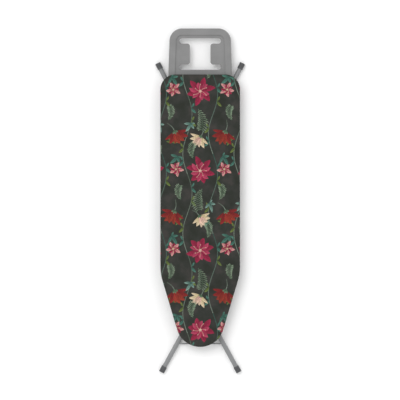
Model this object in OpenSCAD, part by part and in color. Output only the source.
// A folding ironing board, lying folded with its ironing surface up.
// X runs across the board, +Y towards the iron rest, +Z up. The origin is the centre of the
// folded board's footprint, on the surface that its four feet lie on.

/* [Board] */
// Length of the ironing surface
board_length = 1130; // [1000:10:1300]
// Width of the ironing surface
board_width = 330; // [280:5:400]
// Radius of the two corners at the iron rest's end
rear_corner_radius = 62; // [40:1:80]
// Radius of the nose
nose_radius = 100; // [80:1:120]
// Angle of each tapering side to the board's middle line
taper_angle = 16.6; // [12:0.2:22]
// Radius where the straight sides turn into the taper
shoulder_radius = 200; // [100:10:300]
// Thickness of the perforated steel sheet
sheet_thickness = 0.8; // [0.6:0.1:1.5]
// Depth of the rim, from the sheet's top to the rim's lower edge
rim_depth = 18; // [14:1:20]
// Wall of the rim
rim_wall = 1.2; // [0.8:0.1:2]
// Width of the rim's inward flange
rim_flange = 8; // [6:1:10]

/* [Perforations] */
// Distance between openings across the board
opening_pitch_x = 52; // [40:1:70]
// Distance between rows of openings along the board, every other row being set off by half
opening_pitch_y = 30; // [24:1:44]
// Steel left between one opening and the next
opening_web = 6; // [4:0.5:10]
// Plain margin inside the sheet's edge
opening_margin = 9; // [6:1:20]

/* [Pad and cover] */
// Thickness of the foam pad
pad_thickness = 5; // [3:0.5:10]
// Thickness of the cotton cover
cover_thickness = 0.8; // [0.6:0.1:1.2]
// Width of the cover's hem on the underside
hem_width = 20; // [16:1:21]

/* [Iron rest] */
// How far the rest stands out past the board
rest_reach = 192; // [150:2:240]
// Width of the rest near its far end
rest_end_width = 255; // [230:1:280]
// Width of the rest where it meets the board
rest_root_width = 265; // [235:1:290]
// Radius of its two far corners
rest_corner_radius = 52; // [40:1:70]
// Width of the raised border
rest_border = 26; // [18:1:32]
// How far the middle lies below the border
rest_recess = 4; // [2:0.5:6]
// Thickness of the pressed steel
rest_wall = 1.2; // [1:0.1:2]
// Depth of the turned-down outer lip
rest_lip = 8; // [5:0.5:12]
// Width of the opening's two cross slots
slot_span = 172; // [120:1:176]
// Height of each cross slot
slot_height = 22; // [14:1:28]
// Distance from the far end to the first slot
first_slot_inset = 40.5; // [36:0.5:50]
// Distance between the middles of the two slots
slot_distance = 109; // [80:1:114]
// Width of the channel that joins the slots
channel_width = 85.5; // [60:0.5:110]
// Radius of the corners of the two tongues
tongue_radius = 11; // [6:1:14]

/* [Legs] */
// Outer diameter of the leg tubes
tube_diameter = 19; // [16:1:22]
// Wall of the leg tubes
tube_wall = 1; // [0.8:0.1:2]
// Centre distance of the inner pair of tubes
inner_spacing = 100; // [90:1:110]
// Gap between an inner and an outer tube
leg_gap = 3; // [2.5:0.5:5]
// Radius of the bend above each foot
bend_radius = 60; // [40:1:90]
// Angle by which the inner feet splay
inner_splay = 28.7; // [20:0.1:34]
// Angle by which the outer feet splay
outer_splay = 26.9; // [20:0.1:34]
// Centre distance of the inner feet
inner_foot_spread = 323; // [260:1:360]
// Centre distance of the outer feet
outer_foot_spread = 354; // [300:1:400]
// Diameter of the wire that braces each pair
brace_diameter = 5.5; // [4:0.5:8]
// Distance from the feet's ends to the inner pair's brace
inner_brace_height = 119; // [90:1:160]
// Distance from the feet's ends to the outer pair's brace
outer_brace_height = 128; // [90:1:160]
// Wall of a foot cap round the end of its tube
foot_wall = 2.3; // [1:0.1:5.5]
// Length of a foot cap
foot_length = 27; // [16:1:40]
// Thickness of a foot cap's end
foot_end = 4; // [3:0.5:8]

/* [Fold] */
// Lengths and heights here are for a board of the drawn length below, and grow with the board
// Distance from the board's rear edge to the fixed pivot
pivot_setback = 185; // [160:1:220]
// Distance along each leg from its upper pivot to the crossing
crossing_distance = 409.5; // [380:0.5:420]
// Length of each leg, from its upper pivot to the foot's end
leg_length = 1053; // [1000:1:1100]
// Slope of the legs when folded
folded_angle = 1.5; // [1.4:0.1:2.5]
// Height of the sheet's underside above the upper pivots
axle_drop = 24; // [23:0.5:32]
// Diameter of the two steel rods at the legs' upper ends
rod_diameter = 10; // [8:0.5:12]
// Diameter of the two rivets where the legs cross
rivet_diameter = 8; // [6:0.5:10]
// Radial clearance of a rod or rivet in the piece that turns on it
turning_clearance = 0.1; // [0.05:0.01:0.3]
// Lowest height of the ironing surface in use
lowest_height = 750; // [700:10:800]
// Highest height of the ironing surface in use
highest_height = 880; // [840:10:900]
// Number of working heights
height_steps = 5; // [2:1:5]

/* [Rails and height lock] */
// Wall of the two guide rails
rail_wall = 1.5; // [1:0.1:2.5]
// Distance of each rail's inner face from the middle line
rail_offset = 33; // [32.5:0.1:34]
// Depth of the rails below the upper pivots
rail_depth = 14; // [12:0.5:18]
// Width of the rails' top flange
rail_flange = 13; // [8:1:20]
// Outer diameter of the slide rollers
roller_diameter = 14; // [13:0.5:15]
// Distance of the lock's notched plate from the middle line
rack_offset = 25; // [22:0.5:26]
// Distance of the lock's shaft from the side of the outer tubes
shaft_gap = 13.5; // [12.5:0.5:18.5]
// Diameter of the lock's shaft
shaft_diameter = 6; // [5:0.5:7]
// Distance of the lock's shaft below the sheet's underside
shaft_drop = 10.5; // [9.5:0.1:10.8]
// Angle through which the lever frees the lock
release_angle = 4.9; // [4.5:0.1:5.5]
// Width of the lever's plate
lever_width = 34; // [24:1:44]

/* [Hidden] */
$fn = 48;

// Clearances
touch_gap = 0.2;      // between the cover's skirt and the rim that it wraps
under_gap = 0.4;      // between the hem and the iron rest below it
side_gap = 0.15;      // beside each spacer, washer and cap
press_gap = 0.4;      // around the slide rod in a notch
skin = 0.01;          // overlap that makes two drawn shapes one solid

// Fixed details
bolt_radius = 3;
bolt_head_radius = 5.8;
bolt_head_height = 4;
nut_height = 5;
bolt_offsets = [-85, -35, 35, 85];
crossbar_length = 200;
crossbar_wall = 1.5;
crossbar_start = 30;
crossbar_floor = 28;
crossbar_flange = 10;
rest_overlap = 62;
rod_cap_radius = 8;
rod_cap_length = 5;
rod_cap_grip = 4;
rivet_head_radius = 7.5;
rivet_head_height = 2.6;
washer_radius = 11;
roller_flange_radius = 9.4;
roller_flange = 1.6;
sleeve_radius = 7;
tube_overhang = 12;
// The board that the lengths and heights were drawn for, and the stretch of it that the nose keeps
drawn_length = 1130;
drawn_shaft_offset = 95;
nose_room = 126;

rail_front = 1050;
rail_rear = 90;
slot_clearance = 0.3;
window_length = 14;
window_top = 16;
window_bottom = -3;
rack_wall = 1.5;
rack_margin = 25;
rack_above = 15.5;
rack_below = 10.5;
arm_bottom = 5;
arm_width = 9;
eye_radius = 5;
bracket_wall = 2;
bracket_width = 10;
bracket_places = [593, 820, 1016];
lever_place = 620;
lever_hub_radius = 5;
lever_plate = 2;
lever_drop = 18.5;
lever_reach = 54;
lever_knee = 16;
grip_length = 52;
grip_reach = 34;
grip_thickness = 7;
grip_corner = 3;
spring_wire = 0.8;
spring_radius = 4.8;
spring_turns = 5;
spring_pitch = 2.4;
spring_place = 566;
spring_leg = 12;

// Derived sizes
half_width = board_width / 2;
tube_radius = tube_diameter / 2;
rod_radius = rod_diameter / 2;
shaft_radius = shaft_diameter / 2;
rivet_radius = rivet_diameter / 2;
inner_x = inner_spacing / 2;
outer_x = inner_x + tube_diameter + leg_gap;
rim_inset = cover_thickness + touch_gap;
foot_radius = tube_radius + foot_wall;
shaft_offset = outer_x + tube_radius + shaft_gap;

// Places and lengths under the board grow with its length, less the nose, which has to stay wide
// enough round the lock's shaft and the slide rod
lock_shift = (shaft_offset - drawn_shaft_offset) / tan(taper_angle);
share = (board_length - nose_room - lock_shift) / (drawn_length - nose_room);
setback = pivot_setback * share;
crossing = crossing_distance * share;
leg = leg_length * share;

// Place of the board: its rear edge, so that the footprint is centred on the origin
foot_overhang = foot_radius * sqrt(1 - pow(cos(inner_splay) * cos(folded_angle), 2));
inner_reach = setback + leg * cos(folded_angle) + foot_overhang;
rear_edge = (inner_reach - rest_reach) / 2;
pivot_y = rear_edge - setback;
slide_y = pivot_y - 2 * crossing * cos(folded_angle);

// Heights: the feet's lowest point is at zero
foot_lean = min(cos(inner_splay), cos(outer_splay)) * sin(folded_angle);
axle_z = leg * sin(folded_angle) + foot_radius * sqrt(1 - pow(foot_lean, 2));
sheet_bottom = axle_z + axle_drop;
sheet_top = sheet_bottom + sheet_thickness;
pad_top = sheet_top + pad_thickness;
board_top = pad_top + cover_thickness;
rim_bottom = sheet_top - rim_depth;
hem_top = rim_bottom - touch_gap;
hem_bottom = hem_top - cover_thickness;
border_top = hem_bottom - under_gap;
tray_top = border_top - rest_recess;
shaft_z = sheet_bottom - shaft_drop;
arm_rise = shaft_z - axle_z - arm_bottom - arm_width / 2;

// The legs' slope at a height of the ironing surface, and where that puts the slide rod
function slope_at(height) = asin((height - (board_top - axle_z) - foot_radius * 0.7) / leg);
function slide_at(slope) = pivot_y - 2 * crossing * cos(slope);
working_heights = [
    for (i = [0 : height_steps - 1])
        share * (lowest_height + (highest_height - lowest_height) * i / (height_steps - 1))
];
notch_places = concat([slide_y], [for (h = working_heights) slide_at(slope_at(h))]);
last_slide_y = slide_at(slope_at(share * highest_height));

// ---------------------------------------------------------------- shared shapes

function arc(centre, radius, from, to, steps) = [
    for (i = [0 : steps])
        centre + radius * [cos(from + (to - from) * i / steps), sin(from + (to - from) * i / steps)]
];

// The board's outline, moved inwards by inset: nose, shoulder and rear corner on each side
nose_centre = [0, rear_edge - board_length + nose_radius];
shoulder_x = half_width - shoulder_radius;
shoulder_y = nose_centre[1]
    - (nose_radius - shoulder_radius - shoulder_x * cos(taper_angle)) / sin(taper_angle);
corner_x = half_width - rear_corner_radius;
corner_y = rear_edge - rear_corner_radius;
function board_outline(inset) = concat(
    arc(nose_centre, nose_radius - inset, 180 + taper_angle, 360 - taper_angle, 40),
    arc([shoulder_x, shoulder_y], shoulder_radius - inset, -taper_angle, 0, 8),
    arc([corner_x, corner_y], rear_corner_radius - inset, 0, 90, 16),
    arc([-corner_x, corner_y], rear_corner_radius - inset, 90, 180, 16),
    arc([-shoulder_x, shoulder_y], shoulder_radius - inset, 180, 180 + taper_angle, 8)
);

// Half the board's width at y, moved inwards by inset
nose_tangent_y = nose_centre[1] + nose_radius * sin(-taper_angle);
shoulder_end_y = shoulder_y - shoulder_radius * sin(taper_angle);
function across(radius, away) = sqrt(max(0, radius * radius - away * away));
function half_width_at(y, inset) =
    y > corner_y ? corner_x + across(rear_corner_radius - inset, y - corner_y)
    : y > shoulder_y ? half_width - inset
    : y > shoulder_end_y ? shoulder_x + across(shoulder_radius - inset, y - shoulder_y)
    : y > nose_tangent_y
        ? (nose_radius - inset) / cos(taper_angle) + (y - nose_centre[1]) * tan(taper_angle)
    : across(nose_radius - inset, y - nose_centre[1]);

module board_plate(inset, bottom, top)
    translate([0, 0, bottom]) linear_extrude(top - bottom) polygon(board_outline(inset));

module board_ring(outer, inner, bottom, top)
    translate([0, 0, bottom]) linear_extrude(top - bottom) difference() {
        polygon(board_outline(outer));
        polygon(board_outline(inner));
    }

// A round bar along X between two distances from the middle line
module bar_x(radius, from, to)
    translate([from, 0, 0]) rotate([0, 90, 0]) cylinder(r = radius, h = to - from);

// A flat plate drawn in Y and Z, standing across X
module plate_yz(from, wall)
    translate([from, 0, 0]) rotate([90, 0, 90]) linear_extrude(wall) children();

// A flat plate drawn in X and Z, standing across Y
module plate_xz(from, wall)
    translate([0, from + wall, 0]) rotate([90, 0, 0]) linear_extrude(wall) children();

module both_sides() {
    children();
    mirror([1, 0, 0]) children();
}

// ---------------------------------------------------------------- board

module cover_top()
    color("#34362f") board_plate(0, pad_top, board_top);

module cover_skirt()
    color("#34362f") union() {
        board_ring(0, cover_thickness, hem_bottom, pad_top);
        board_ring(cover_thickness - skin, hem_width, hem_bottom, hem_top);
    }

module foam_pad()
    color("#d9d6cd") board_plate(rim_inset, sheet_top, pad_top);

// A diamond opening fits when its four corners lie inside the sheet's plain margin
opening_x = opening_pitch_x - opening_web * 1.6;
opening_y = opening_pitch_y - opening_web;
function opening_fits(x, y) =
    y + opening_y / 2 < rear_edge - rim_inset - opening_margin
    && y - opening_y / 2 > rear_edge - board_length + rim_inset + opening_margin
    && abs(x) + opening_x / 2 < half_width_at(y, rim_inset + opening_margin)
    && abs(x) < half_width_at(y - opening_y / 2, rim_inset + opening_margin)
    && abs(x) < half_width_at(y + opening_y / 2, rim_inset + opening_margin);

module mesh_sheet() {
    columns = ceil(half_width / opening_pitch_x);
    rows = ceil(board_length / (opening_pitch_y / 2));
    color("#8d8f90") translate([0, 0, sheet_bottom]) linear_extrude(sheet_thickness) difference() {
        polygon(board_outline(rim_inset));
        for (row = [0 : rows], column = [-columns : columns]) {
            x = (column + (row % 2) / 2) * opening_pitch_x;
            y = rear_edge - row * opening_pitch_y / 2;
            if (opening_fits(x, y))
                translate([x, y]) polygon([
                    [-opening_x / 2, 0], [0, -opening_y / 2], [opening_x / 2, 0], [0, opening_y / 2]
                ]);
        }
    }
}

module board_rim()
    color("#8d8f90") union() {
        board_ring(rim_inset, rim_inset + rim_wall, rim_bottom, sheet_bottom);
        board_ring(rim_inset + rim_wall - skin, rim_inset + rim_flange, rim_bottom,
                   rim_bottom + rim_wall);
    }

module rear_crossbar() {
    start = rear_edge - crossbar_start;
    end = start - crossbar_floor;
    inner_start = start - crossbar_wall;
    inner_end = end + crossbar_wall;
    color("#8d8f90") difference() {
        plate_yz(-crossbar_length / 2, crossbar_length) polygon([
            [end, tray_top], [start, tray_top],
            [start, sheet_bottom - crossbar_wall], [start + crossbar_flange, sheet_bottom - crossbar_wall],
            [start + crossbar_flange, sheet_bottom], [inner_start, sheet_bottom],
            [inner_start, tray_top + crossbar_wall], [inner_end, tray_top + crossbar_wall],
            [inner_end, sheet_bottom], [end - crossbar_flange, sheet_bottom],
            [end - crossbar_flange, sheet_bottom - crossbar_wall], [end, sheet_bottom - crossbar_wall]
        ]);
        rest_bolt_holes();
    }
}

// The left rail; the right one is its mirror image
module guide_rail() {
    front = rear_edge - rail_front * share;
    rear = rear_edge - rail_rear * share;
    slot_radius = roller_diameter / 2 + slot_clearance;
    union() {
        plate_yz(-rail_offset - rail_wall, rail_wall) difference() {
            translate([front, axle_z - rail_depth])
                square([rear - front, rail_depth + axle_drop]);
            translate([pivot_y, axle_z]) circle(r = rod_radius);
            translate([slide_y, axle_z]) circle(r = slot_radius);
            translate([last_slide_y, axle_z]) circle(r = slot_radius);
            translate([slide_y, axle_z - slot_radius])
                square([last_slide_y - slide_y, 2 * slot_radius]);
            for (place = rack_arm_places)
                translate([place - window_length / 2, axle_z + window_bottom])
                    square([window_length, window_top - window_bottom]);
        }
        translate([-rail_offset - rail_wall - rail_flange, front, sheet_bottom - rail_wall])
            cube([rail_flange + skin, rear - front, rail_wall]);
    }
}

module guide_rail_left() color("#8d8f90") guide_rail();
module guide_rail_right() color("#8d8f90") mirror([1, 0, 0]) guide_rail();

// ---------------------------------------------------------------- iron rest

rest_end = rear_edge + rest_reach;
rest_root = rear_edge - rest_overlap;
rest_lean = atan((rest_root_width - rest_end_width) / 2 / (rest_reach - rest_corner_radius));
function rest_side(inset) = rest_end_width / 2 - inset;
function rest_outline(inset) = concat(
    [[rest_root_width / 2 - inset, rest_root], [rest_root_width / 2 - inset, rear_edge]],
    arc([rest_side(rest_corner_radius), rest_end - rest_corner_radius],
        rest_corner_radius - inset, rest_lean, 90, 16),
    arc([-rest_side(rest_corner_radius), rest_end - rest_corner_radius],
        rest_corner_radius - inset, 90, 180 - rest_lean, 16),
    [[inset - rest_root_width / 2, rear_edge], [inset - rest_root_width / 2, rest_root]]
);

// The opening: two cross slots joined by a channel, with round corners on the two tongues
module rest_opening(grow = 0) {
    first = rest_end - first_slot_inset - slot_height / 2;
    second = first - slot_distance;
    slot_radius = slot_height / 2 + grow;
    for (y = [first, second]) {
        translate([-slot_span / 2 + slot_height / 2, y - slot_radius])
            square([slot_span - slot_height, 2 * slot_radius]);
        for (side = [-1, 1])
            translate([side * (slot_span - slot_height) / 2, y]) circle(r = slot_radius);
    }
    translate([-channel_width / 2 - grow, second]) square([channel_width + 2 * grow, slot_distance]);
    corner = tongue_radius - grow;
    for (side = [-1, 1], end = [-1, 1])
        translate([side * (channel_width / 2 + grow), (first + second) / 2
                   + end * (slot_distance / 2 - slot_radius)])
            difference() {
                translate([side > 0 ? -skin : -corner, end > 0 ? -corner : -skin])
                    square(corner + skin);
                translate([side * corner, -end * corner]) circle(r = corner);
            }
}

module rest_ring(outer, inner, bottom, top)
    translate([0, 0, bottom]) linear_extrude(top - bottom) difference() {
        polygon(rest_outline(outer));
        polygon(concat([[rest_root_width / 2 - inner, rest_root - 1]], rest_outline(inner),
                       [[inner - rest_root_width / 2, rest_root - 1]]));
    }

module rest_bolt_holes()
    for (x = bolt_offsets)
        translate([x, rear_edge - crossbar_start - crossbar_floor / 2, tray_top - 10])
            cylinder(r = bolt_radius, h = 20);

module iron_rest()
    color("#8c8c8c") difference() {
        union() {
            rest_ring(0, rest_border, border_top - rest_wall, border_top);
            rest_ring(0, rest_wall, border_top - rest_lip, border_top - rest_wall + skin);
            rest_ring(rest_border - skin, rest_border + rest_wall, tray_top - rest_wall, border_top);
            translate([0, 0, tray_top - rest_wall]) linear_extrude(rest_wall) difference() {
                polygon(rest_outline(rest_border + rest_wall - skin));
                rest_opening();
            }
            translate([0, 0, tray_top - 3 * rest_wall]) linear_extrude(3 * rest_wall - skin)
                difference() {
                    rest_opening(rest_wall);
                    rest_opening();
                }
        }
        rest_bolt_holes();
    }

module rest_bolts()
    color("#c8c9ca") for (x = bolt_offsets)
        translate([x, rear_edge - crossbar_start - crossbar_floor / 2,
                   tray_top - rest_wall - bolt_head_height]) {
            cylinder(r = bolt_head_radius, h = bolt_head_height, $fn = 6);
            cylinder(r = bolt_radius,
                     h = bolt_head_height + rest_wall + crossbar_wall + nut_height + 2);
        }

module rest_nuts()
    color("#c8c9ca") for (x = bolt_offsets)
        translate([x, rear_edge - crossbar_start - crossbar_floor / 2, tray_top + crossbar_wall])
            difference() {
                cylinder(r = bolt_head_radius, h = nut_height, $fn = 6);
                translate([0, 0, -1]) cylinder(r = bolt_radius, h = nut_height + 2);
            }

// ---------------------------------------------------------------- legs

// In a leg's own frame the upper pivot is the origin, +Y runs to the feet and X is across.
module inner_frame()
    translate([0, pivot_y, axle_z]) rotate([180 + folded_angle, 0, 0]) children();

module outer_frame()
    translate([0, slide_y, axle_z]) rotate([-folded_angle, 0, 0]) children();

// Where the straight part and the splayed part of a tube would meet
function bend_corner(x, splay, spread) = leg - (spread / 2 - x) / tan(splay);
function tube_x_at(x, splay, spread, along) =
    x + (along - bend_corner(x, splay, spread)) * tan(splay);

// The right-hand tube: straight, bent outwards, then straight to the foot. It is drawn from the
// bend's centre, in two halves whose bends overlap.
module bent_tube(x, splay, spread, radius, bore, end) {
    corner = bend_corner(x, splay, spread);
    tangent = bend_radius * tan(splay / 2);
    splayed = (leg - corner) / cos(splay) - tangent - end;
    translate([x + bend_radius, corner - tangent, 0]) rotate([0, 180, 0]) {
        half_tube(tube_overhang + corner - tangent, 0.7 * splay, radius, bore);
        rotate([0, 0, splay]) rotate([180, 0, 0]) half_tube(splayed, 0.7 * splay, radius, bore);
    }
}

module half_tube(straight, turn, radius, bore)
    union() {
        translate([bend_radius, 0, 0]) rotate([90, 0, 0])
            linear_extrude(straight) tube_section(radius, bore);
        rotate_extrude(angle = turn) translate([bend_radius, 0]) tube_section(radius, bore);
    }

module tube_section(radius, bore)
    difference() {
        circle(r = radius);
        if (bore > 0) circle(r = bore);
    }

module leg_tube(x, splay, spread, top_hole, crossing_hole)
    color("#8b8c8d") difference() {
        bent_tube(x, splay, spread, tube_radius, tube_radius - tube_wall, foot_end);
        bar_x(top_hole, x - tube_diameter, x + tube_diameter);
        translate([0, crossing, 0])
            bar_x(crossing_hole, x - tube_diameter, x + tube_diameter);
    }

module leg_brace(x, splay, spread, from_feet) {
    along = leg - from_feet;
    reach = tube_x_at(x, splay, spread, along);
    color("#6f7172") difference() {
        translate([0, along, 0]) bar_x(brace_diameter / 2, -reach, reach);
        both_sides() bent_tube(x, splay, spread, tube_radius, 0, foot_end);
    }
}

// The right-hand foot cap: a cup whose closed end is the foot's end
module foot_cap(splay, spread)
    color("#454545") translate([spread / 2, leg, 0]) rotate([0, 0, -splay])
        rotate([90, 0, 0]) rotate_extrude() polygon([
            [0, 0], [foot_radius - 1.5, 0], [foot_radius - 0.4, 0.5], [foot_radius, 1.6],
            [foot_radius - 0.6, foot_length - 3], [foot_radius - 0.3, foot_length - 1],
            [foot_radius - 0.9, foot_length], [tube_radius, foot_length],
            [tube_radius, foot_end], [0, foot_end]
        ]);

pivot_hole = rod_radius + turning_clearance;
rivet_hole = rivet_radius + turning_clearance;

module inner_tube() leg_tube(inner_x, inner_splay, inner_foot_spread, pivot_hole, rivet_radius);
module outer_tube() leg_tube(outer_x, outer_splay, outer_foot_spread, rod_radius, rivet_hole);

// The inner frame is turned over, so its own right-hand side is the row's right-hand side too
module inner_leg_right() inner_frame() inner_tube();
module inner_leg_left() inner_frame() mirror([1, 0, 0]) inner_tube();
module inner_leg_brace()
    inner_frame() leg_brace(inner_x, inner_splay, inner_foot_spread, inner_brace_height);
module inner_foot_right() inner_frame() foot_cap(inner_splay, inner_foot_spread);
module inner_foot_left() inner_frame() mirror([1, 0, 0]) foot_cap(inner_splay, inner_foot_spread);

module outer_leg_right() outer_frame() outer_tube();
module outer_leg_left() outer_frame() mirror([1, 0, 0]) outer_tube();
module outer_leg_brace()
    outer_frame() leg_brace(outer_x, outer_splay, outer_foot_spread, outer_brace_height);
module outer_foot_right() outer_frame() foot_cap(outer_splay, outer_foot_spread);
module outer_foot_left() outer_frame() mirror([1, 0, 0]) foot_cap(outer_splay, outer_foot_spread);

// ---------------------------------------------------------------- pivots

module crossing_rivets() {
    inner_end = inner_x - tube_radius;
    outer_end = outer_x + tube_radius;
    color("#b9bbbd") inner_frame() translate([0, crossing, 0]) both_sides() {
        bar_x(rivet_radius, inner_end - rivet_head_height, outer_end + side_gap + rivet_head_height);
        bar_x(rivet_head_radius, inner_end - rivet_head_height, inner_end);
        bar_x(rivet_head_radius, outer_end + side_gap, outer_end + side_gap + rivet_head_height);
    }
}

module crossing_washers()
    color("#2c2c2c") inner_frame() translate([0, crossing, 0]) both_sides()
        difference() {
            bar_x(washer_radius, inner_x + tube_radius + side_gap,
                  outer_x - tube_radius - side_gap);
            bar_x(rivet_radius, inner_x, outer_x);
        }

// A cap pushed onto the end of a rod, seated beside the tube
module rod_cap(start)
    translate([start, 0, 0]) rotate([0, 90, 0]) rotate_extrude() polygon([
        [rod_radius, 0], [rod_cap_radius - 0.6, 0], [rod_cap_radius, 0.6],
        [rod_cap_radius, rod_cap_length - 2], [rod_cap_radius - 2, rod_cap_length],
        [0, rod_cap_length], [0, rod_cap_grip], [rod_radius, rod_cap_grip]
    ]);

pivot_cap_start = inner_x + tube_radius + side_gap;
slide_cap_start = outer_x + tube_radius;

module pivot_rod() {
    end = pivot_cap_start + rod_cap_grip;
    color("#a9abad") translate([0, pivot_y, axle_z]) bar_x(rod_radius, -end, end);
}

module pivot_rod_caps()
    color("#2c2c2c") translate([0, pivot_y, axle_z]) both_sides() rod_cap(pivot_cap_start);

module pivot_spacers()
    color("#2c2c2c") translate([0, pivot_y, axle_z]) both_sides() difference() {
        bar_x(rod_cap_radius, rail_offset + rail_wall, inner_x - tube_radius - side_gap);
        bar_x(rod_radius, rail_offset, inner_x);
    }

module slide_rod() {
    end = slide_cap_start + rod_cap_grip;
    color("#a9abad") translate([0, slide_y, axle_z]) bar_x(rod_radius, -end, end);
}

module slide_rod_caps()
    color("#2c2c2c") translate([0, slide_y, axle_z]) both_sides() rod_cap(slide_cap_start);

// A flanged plastic roller in each rail's slot
roller_inner = rail_offset - side_gap - roller_flange;
roller_outer = rail_offset + rail_wall + side_gap + roller_flange;
module slide_rollers()
    color("#e4e2dc") translate([0, slide_y, axle_z]) both_sides() rotate([0, 90, 0])
        rotate_extrude() polygon([
            [rod_radius, roller_inner], [roller_flange_radius, roller_inner],
            [roller_flange_radius, roller_inner + roller_flange],
            [roller_diameter / 2, roller_inner + roller_flange],
            [roller_diameter / 2, roller_outer - roller_flange],
            [roller_flange_radius, roller_outer - roller_flange],
            [roller_flange_radius, roller_outer], [rod_radius, roller_outer]
        ]);

module slide_sleeves()
    color("#2c2c2c") translate([0, slide_y, axle_z]) both_sides() difference() {
        bar_x(sleeve_radius, roller_outer + side_gap, outer_x - tube_radius - side_gap);
        bar_x(rod_radius, rail_offset, outer_x);
    }

// ---------------------------------------------------------------- height lock

rack_front = slide_y - rack_margin;
rack_rear = last_slide_y + rack_margin + 8;
rack_arm_places = [rack_front + rack_wall, rack_rear - rack_wall];

// Everything that turns with the lock is drawn with a notch round the slide rod, then turned to
// the lever's squeezed position, in which the board folds freely
module squeezed()
    translate([-shaft_offset, 0, shaft_z]) rotate([0, release_angle, 0])
        translate([shaft_offset, 0, -shaft_z]) children();

module rack_outline() {
    drop = (shaft_offset - rack_offset) * sin(release_angle);
    pocket = rod_radius + press_gap;
    floor_z = axle_z + drop - pocket;
    difference() {
        translate([rack_front, axle_z - rack_below])
            square([rack_rear - rack_front, rack_below + rack_above]);
        translate([slide_y - pocket, floor_z])
            square([last_slide_y - slide_y + 2 * pocket, 2 * pocket + 0.3]);
        for (y = notch_places) translate([y, axle_z]) {
            circle(r = pocket);
            translate([-pocket, 0]) square([2 * pocket, pocket]);
        }
    }
}

module rack_arm(place)
    plate_xz(place - rack_wall / 2, rack_wall) difference() {
        union() {
            translate([0, axle_z + arm_bottom]) polygon([
                [-shaft_offset, arm_rise], [-rack_offset, 0], [-rack_offset, arm_width],
                [-shaft_offset, arm_rise + arm_width]
            ]);
            translate([-shaft_offset, shaft_z]) circle(r = eye_radius);
        }
        translate([-shaft_offset, shaft_z]) circle(r = shaft_radius);
    }

module height_rack()
    color("#9fa1a3") squeezed() union() {
        plate_yz(-rack_offset - rack_wall / 2, rack_wall) rack_outline();
        for (place = rack_arm_places) rack_arm(place);
    }

spring_y = rear_edge - spring_place * share - 8;
shaft_rear = spring_y + 16;
shaft_front = rack_arm_places[0] - 6;

module lock_shaft()
    color("#a9abad") translate([-shaft_offset, shaft_rear, shaft_z]) rotate([90, 0, 0])
        cylinder(r = shaft_radius, h = shaft_rear - shaft_front);

// Each bracket hangs from the sheet and carries the shaft
module shaft_bracket(place)
    translate([-shaft_offset, rear_edge - place * share, 0]) difference() {
        union() {
            plate_xz(-bracket_wall / 2, bracket_wall) {
                translate([-bracket_width / 2, shaft_z])
                    square([bracket_width, sheet_bottom - shaft_z]);
                translate([0, shaft_z]) circle(r = bracket_width / 2);
            }
            translate([-bracket_width / 2, -bracket_wall / 2, sheet_bottom - bracket_wall])
                cube([bracket_width, bracket_width, bracket_wall]);
        }
        translate([0, bracket_wall, shaft_z]) rotate([90, 0, 0])
            cylinder(r = shaft_radius + turning_clearance, h = 2 * bracket_wall);
    }

module shaft_brackets()
    color("#8d8f90") for (place = bracket_places) shaft_bracket(place);

// Lever: a hub on the shaft and a plate that drops and runs out under the board's side
lever_y = rear_edge - lever_place * share;
module release_lever()
    color("#9fa1a3") squeezed() translate([-shaft_offset, 0, shaft_z]) difference() {
        union() {
            plate_xz(lever_y - lever_width / 2, lever_width) circle(r = lever_hub_radius);
            plate_xz(lever_y - lever_width / 2, lever_width) polygon([
                [0, 0], [0, 0.5 - lever_hub_radius], [1 - lever_knee, -lever_drop],
                [-lever_reach, -lever_drop], [-lever_reach, lever_plate - lever_drop],
                [-lever_knee, lever_plate - lever_drop], [0.5 - lever_hub_radius, 0]
            ]);
        }
        plate_xz(lever_y - lever_width / 2 - 1, lever_width + 2) circle(r = shaft_radius);
    }

// Grip: a rounded sleeve with a pocket that the plate's end fills
module lever_grip() {
    middle = shaft_z - lever_drop + lever_plate / 2;
    end = -shaft_offset - lever_reach - 3;
    flat = grip_thickness / 2;
    color("#454545") squeezed() plate_xz(lever_y - grip_length / 2, grip_length) difference() {
        translate([end, middle]) union() {
            translate([grip_corner, -flat]) square([grip_reach - 2 * grip_corner, 2 * flat]);
            translate([0, -flat + grip_corner]) square([grip_reach, 2 * (flat - grip_corner)]);
            for (x = [grip_corner, grip_reach - grip_corner], z = [grip_corner - flat, flat - grip_corner])
                translate([x, z]) circle(r = grip_corner);
        }
        translate([end + 3, middle - lever_plate / 2]) square([grip_reach, lever_plate]);
    }
}

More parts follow.
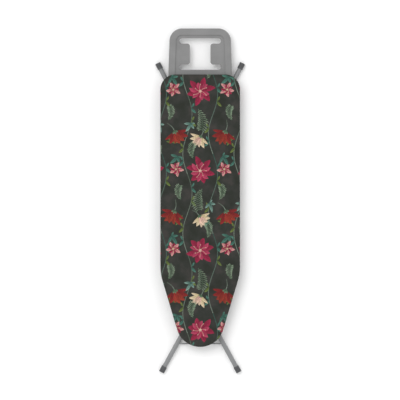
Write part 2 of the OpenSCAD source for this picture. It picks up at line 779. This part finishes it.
// A torsion spring round the shaft's rear end, with one leg against the sheet
module lever_spring() {
    turn_steps = 16;
    ring_sides = 8;
    coil = [
        for (i = [0 : spring_turns * turn_steps])
            let (a = 90 + 360 * i / turn_steps)
            [spring_radius * cos(a), spring_pitch * i / turn_steps, spring_radius * sin(a)]
    ];
    leg_a = [for (i = [spring_leg : -4 : 4]) [i, 0, spring_radius]];
    last = coil[len(coil) - 1];
    leg_b = [for (i = [4 : 4 : spring_leg]) last - [i, 0, 0]];
    path = concat(leg_a, coil, leg_b);
    count = len(path);
    function heading(i) =
        let (d = path[min(i + 1, count - 1)] - path[max(i - 1, 0)]) d / norm(d);
    function ring(i) =
        let (t = heading(i), u = cross(t, [0, 1, 0]) / norm(cross(t, [0, 1, 0])), v = cross(t, u))
        [
            for (k = [0 : ring_sides - 1])
                path[i] + spring_wire * (cos(360 * k / ring_sides) * u + sin(360 * k / ring_sides) * v)
        ];
    points = [for (i = [0 : count - 1]) each ring(i)];
    sides = [
        for (i = [0 : count - 2], k = [0 : ring_sides - 1])
            let (n = (k + 1) % ring_sides)
            [i * ring_sides + k, i * ring_sides + n, (i + 1) * ring_sides + n, (i + 1) * ring_sides + k]
    ];
    first_end = [for (k = [ring_sides - 1 : -1 : 0]) k];
    last_end = [for (k = [0 : ring_sides - 1]) (count - 1) * ring_sides + k];
    color("#b9bbbd") translate([-shaft_offset, spring_y, shaft_z])
        polyhedron(points = points, faces = concat([first_end], sides, [last_end]));
}

cover_top();
cover_skirt();
foam_pad();
mesh_sheet();
board_rim();
rear_crossbar();
guide_rail_left();
guide_rail_right();
iron_rest();
rest_bolts();
rest_nuts();
pivot_rod();
pivot_rod_caps();
pivot_spacers();
shaft_brackets();
lever_spring();
inner_leg_left();
inner_leg_right();
inner_leg_brace();
inner_foot_left();
inner_foot_right();
crossing_rivets();
crossing_washers();
outer_leg_left();
outer_leg_right();
outer_leg_brace();
outer_foot_left();
outer_foot_right();
slide_rod();
slide_rod_caps();
slide_rollers();
slide_sleeves();
lock_shaft();
height_rack();
release_lever();
lever_grip();
